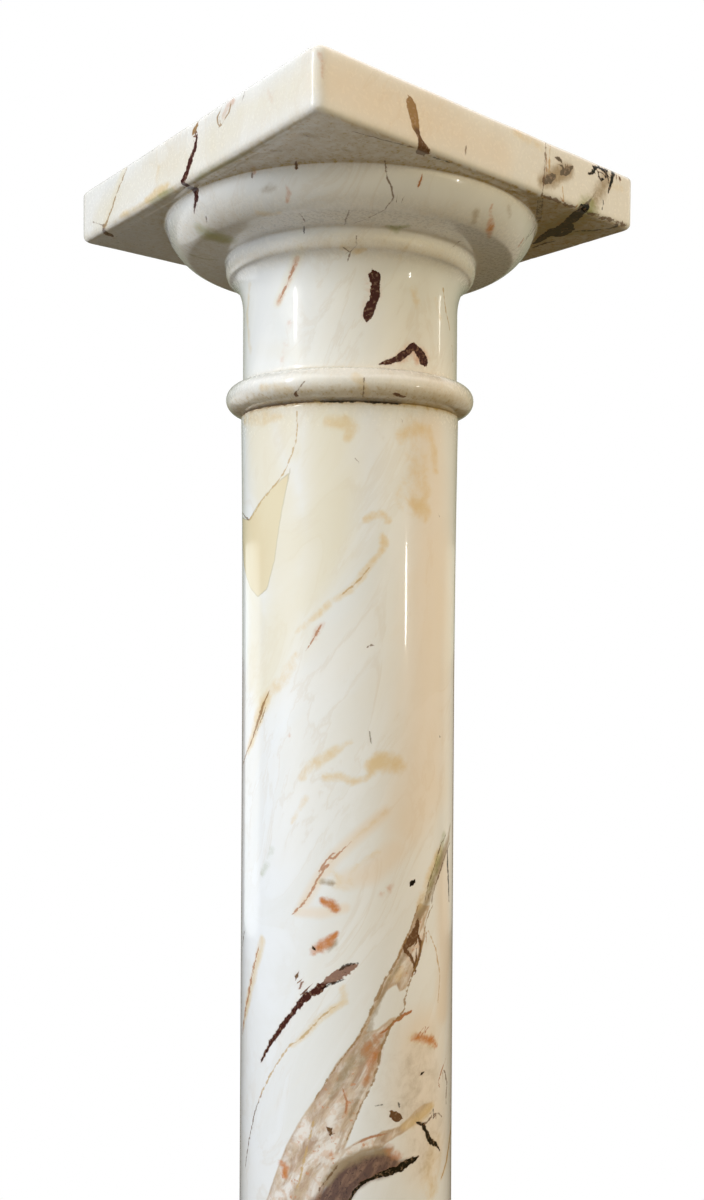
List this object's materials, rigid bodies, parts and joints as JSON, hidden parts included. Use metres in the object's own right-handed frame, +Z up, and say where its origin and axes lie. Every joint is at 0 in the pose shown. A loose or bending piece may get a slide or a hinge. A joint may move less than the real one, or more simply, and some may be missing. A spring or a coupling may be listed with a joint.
{
  "type": "marble pedestal column",
  "caption": "Turned marble pedestal column in the Doric order: square plinth and torus base, plain round shaft, capital with astragal, annulet, echinus and square abacus.",
  "frame": {"origin": "centre of the plinth's underside, which stands on the floor", "axes": "+Z up along the shaft's axis; X and Y square to the sides of plinth and abacus"},
  "size_m": [0.2826, 0.2826, 1.0605],
  "materials": {
    "base_marble": "polished white marble with cream, ochre and violet-brown veins",
    "shaft_marble": "polished white marble with cream, ochre and violet-brown veins",
    "capital_marble": "polished white marble, soiled along its edges, with dark veins and hair cracks"
  },
  "bodies": {
    "root": {"base": "base_marble", "shaft": "shaft_marble", "capital": "capital_marble"}
  },
  "joints": []
}
